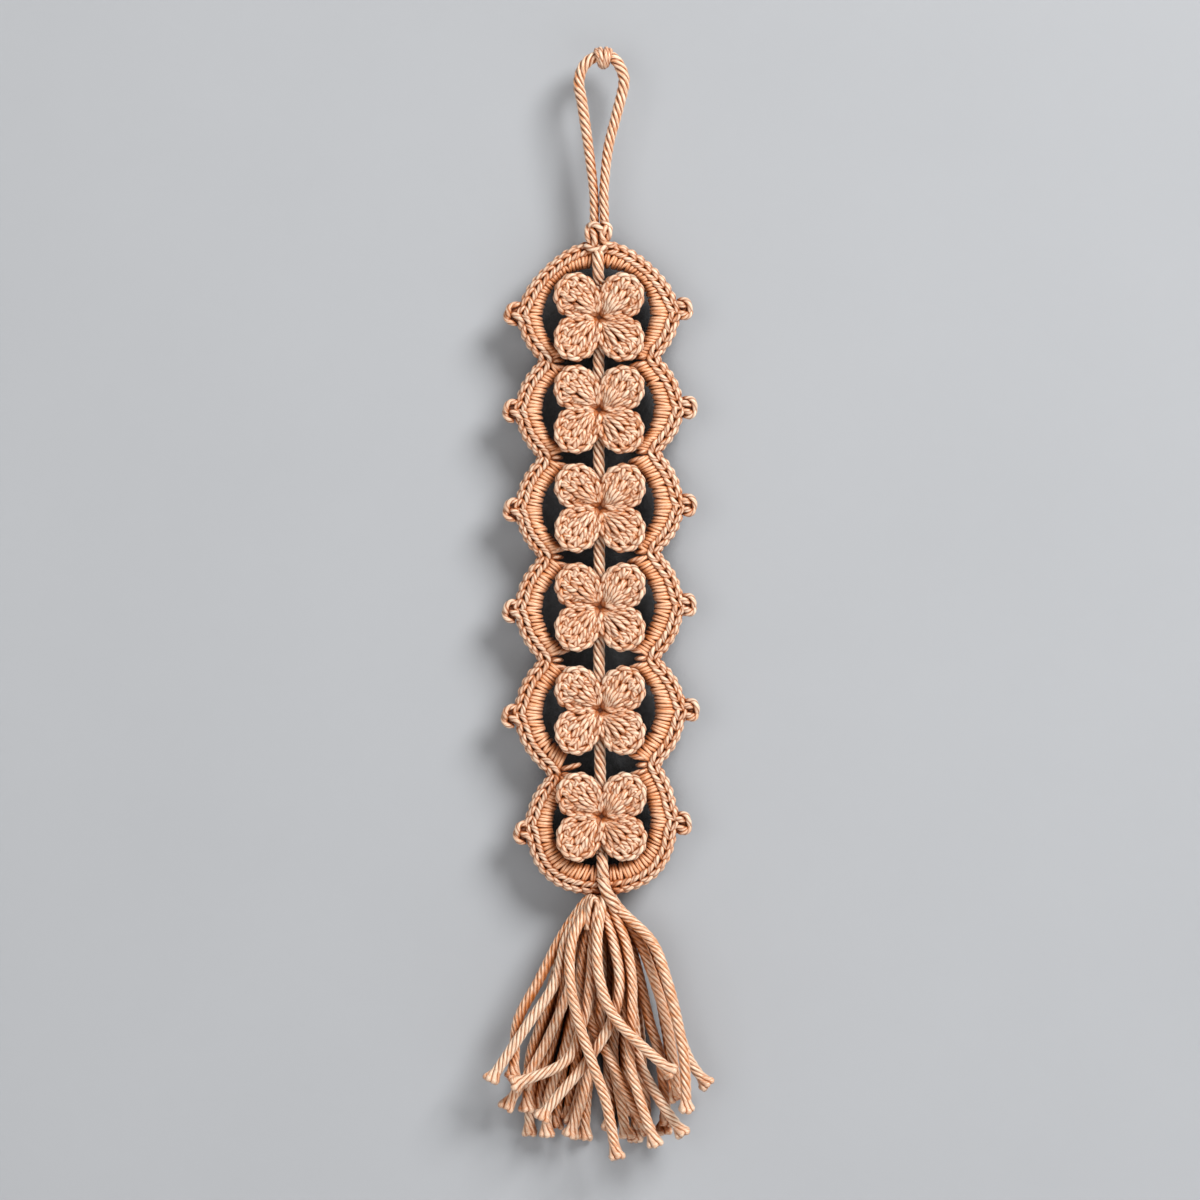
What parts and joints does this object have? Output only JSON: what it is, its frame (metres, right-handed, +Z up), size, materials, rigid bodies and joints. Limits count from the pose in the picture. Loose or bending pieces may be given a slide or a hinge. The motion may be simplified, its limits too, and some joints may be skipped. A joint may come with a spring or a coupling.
{
  "type": "crochet hanging decoration",
  "caption": "Narrow crochet strip of ring motifs with four-petal flowers on a middle cord, hung by a twisted cord loop and ended by a cut-cord tassel.",
  "frame": {"origin": "the hang point, at the inner top of the cord loop, under its whipping", "axes": "+Z up along the strip, front faces -Y, +X to the right as seen from the front"},
  "size_m": [0.097, 0.031, 0.4661],
  "materials": {
    "cord": "satin twisted cotton cord",
    "whipping": "satin cotton yarn",
    "band_yarn": "satin crocheted cotton yarn",
    "flower_yarn": "satin crocheted cotton yarn",
    "tassel_cord": "satin twisted cotton cord"
  },
  "bodies": {
    "root": {"hanging_loop": "cord", "hitch": "cord", "centre_cord": "cord", "whipping": "whipping", "band": "band_yarn", "flower_1": "flower_yarn", "flower_2": "flower_yarn", "flower_3": "flower_yarn", "flower_4": "flower_yarn", "flower_5": "flower_yarn", "flower_6": "flower_yarn", "tassel": "tassel_cord"}
  },
  "joints": []
}
